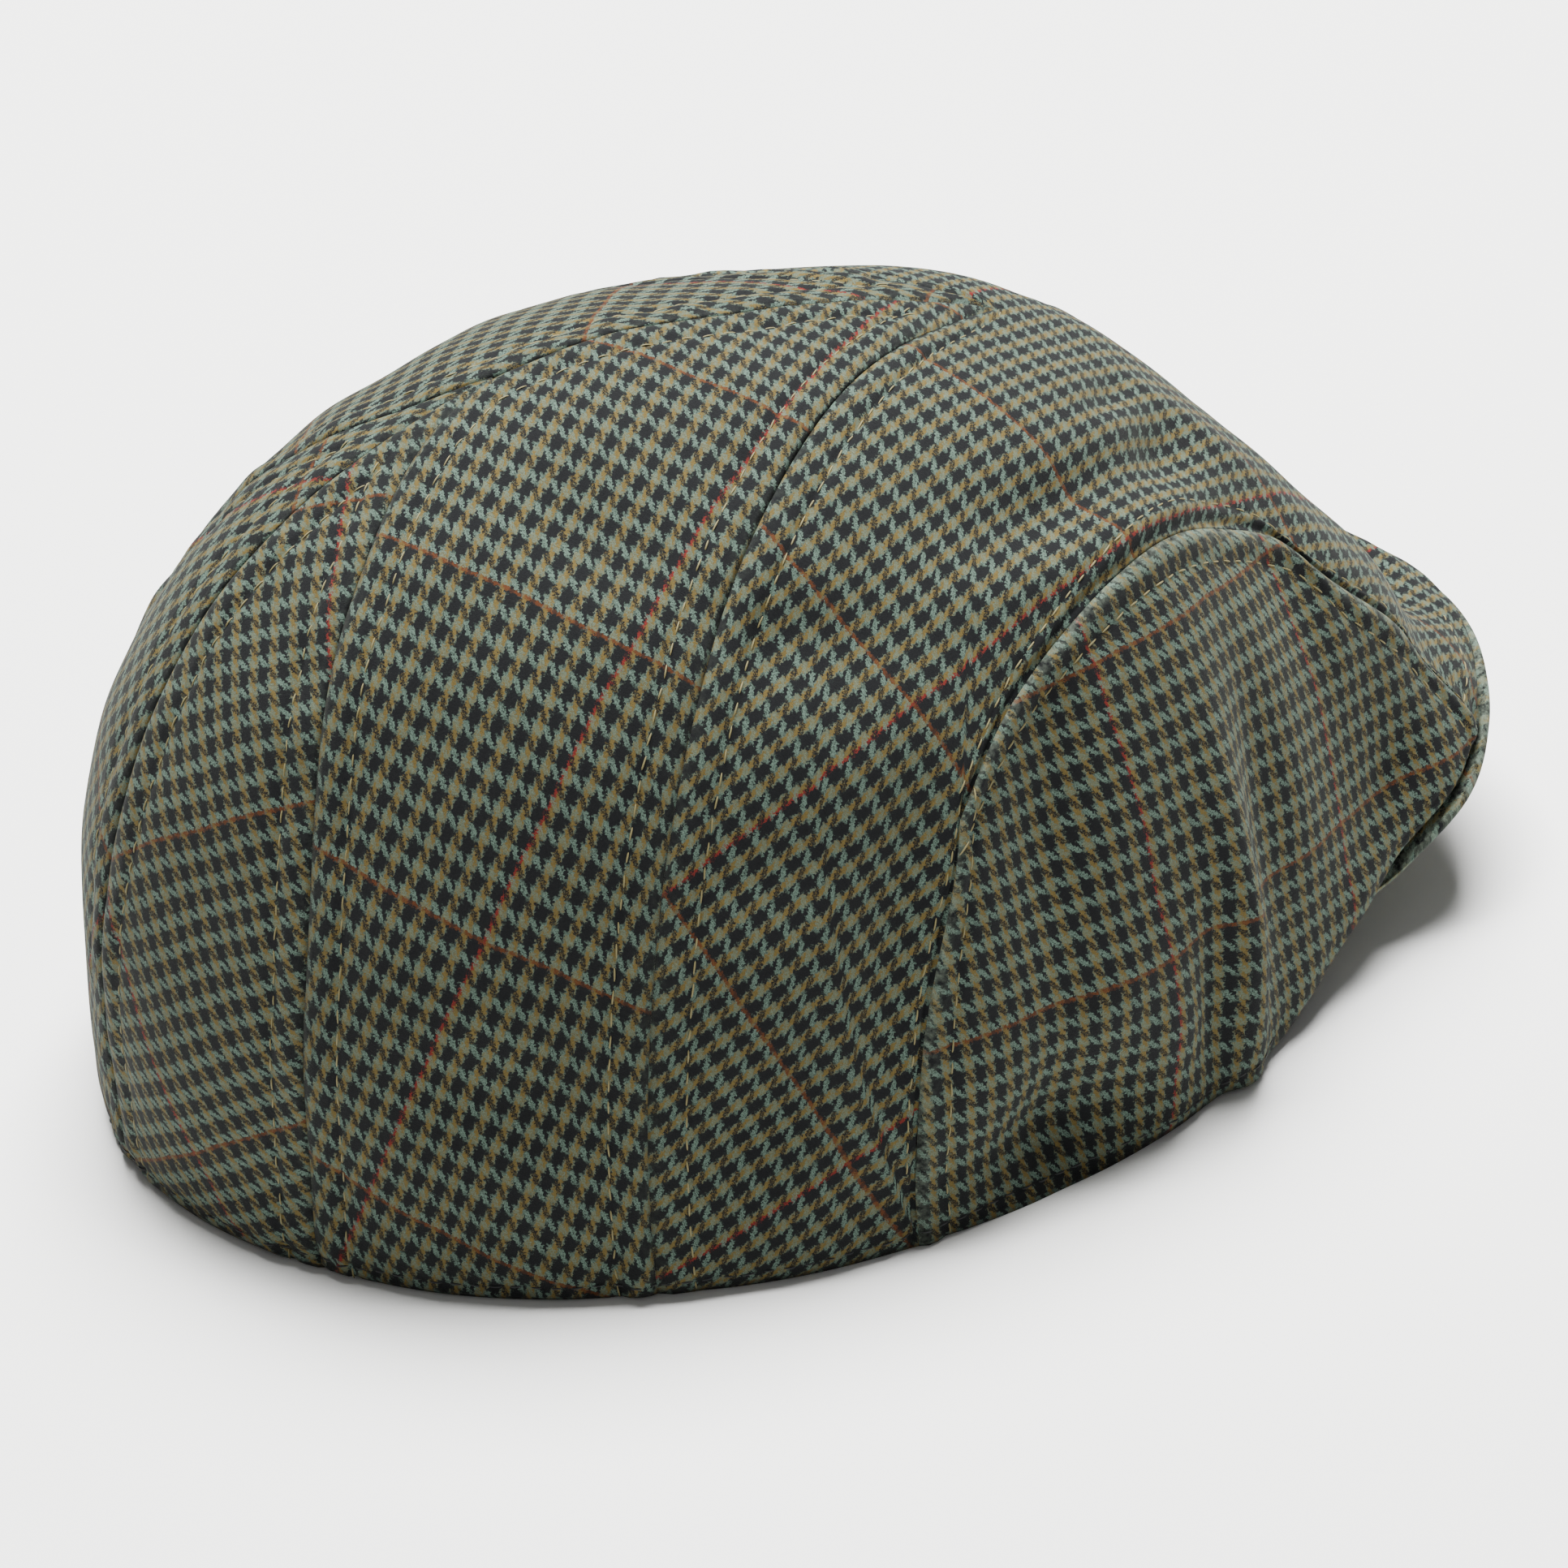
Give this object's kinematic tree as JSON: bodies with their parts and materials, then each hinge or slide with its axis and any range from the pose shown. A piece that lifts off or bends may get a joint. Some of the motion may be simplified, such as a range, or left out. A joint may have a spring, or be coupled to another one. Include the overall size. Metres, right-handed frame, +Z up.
{
  "type": "flat cap",
  "caption": "Duckbill flat cap of napped sage and charcoal houndstooth tweed with rust and red windowpane lines, a gored crown and a short stitched peak",
  "frame": {"origin": "on the table under the middle of the cap's bounding box", "axes": "+X is the wearer's left, +Y the back of the head, +Z up; the peak points along -Y"},
  "size_m": [0.1736, 0.2454, 0.1228],
  "materials": {
    "tweed": "napped",
    "peak_tweed": "napped"
  },
  "bodies": {
    "root": {"front_panel": "tweed", "side_gore_right": "tweed", "side_gore_left": "tweed", "rear_gore_right": "tweed", "rear_gore_left": "tweed", "temple_panel_right": "tweed", "temple_panel_left": "tweed", "peak": "peak_tweed"}
  },
  "joints": []
}
